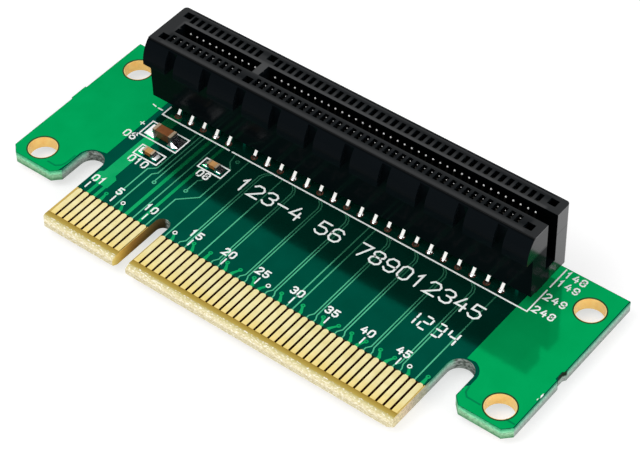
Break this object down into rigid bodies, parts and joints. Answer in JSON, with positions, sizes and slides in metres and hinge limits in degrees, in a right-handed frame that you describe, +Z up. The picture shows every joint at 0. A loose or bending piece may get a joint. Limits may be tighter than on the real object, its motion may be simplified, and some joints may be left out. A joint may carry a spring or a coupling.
{
  "type": "pcie riser card",
  "caption": "Flat riser card: an edge connector plugs into a host slot and carries one long upright expansion slot along its rear edge.",
  "frame": {"origin": "centre of the key notch, on the front (card-edge) side, in the underside of the board", "axes": "+X along the card edge towards the long run of contacts, +Y from the card edge to the rear edge, +Z up through the board towards the slot's mouth"},
  "size_m": [0.0734, 0.0302, 0.0139],
  "materials": {
    "board_laminate": "green solder mask over glass-fibre laminate",
    "gold_plate": "thin gold plating",
    "hole_plate": "gold-plated barrel",
    "housing_plastic": "glossy moulded polymer",
    "contact_metal": "bright plated spring metal",
    "solder_metal": "bright tin solder",
    "ceramic_brown": "brown fired ceramic",
    "ceramic_tan": "tan fired ceramic",
    "cap_ends": "tinned end cap"
  },
  "bodies": {
    "root": {"circuit_board": "board_laminate", "gold_fingers_front": "gold_plate", "gold_fingers_back": "gold_plate", "hole_sleeve_front_left": "hole_plate", "hole_sleeve_back_left": "hole_plate", "hole_sleeve_front_right": "hole_plate", "hole_sleeve_back_right": "hole_plate", "slot_housing": "housing_plastic", "contacts_front_even": "contact_metal", "contacts_front_odd": "contact_metal", "contacts_back_odd": "contact_metal", "contacts_back_even": "contact_metal", "solder_underside": "solder_metal", "solder_front_row": "solder_metal", "capacitor_large": "ceramic_brown", "capacitor_large_ends": "cap_ends", "capacitor_large_solder": "solder_metal", "capacitor_left": "ceramic_tan", "capacitor_left_ends": "cap_ends", "capacitor_left_solder": "solder_metal", "capacitor_right": "ceramic_tan", "capacitor_right_ends": "cap_ends", "capacitor_right_solder": "solder_metal"}
  },
  "joints": []
}
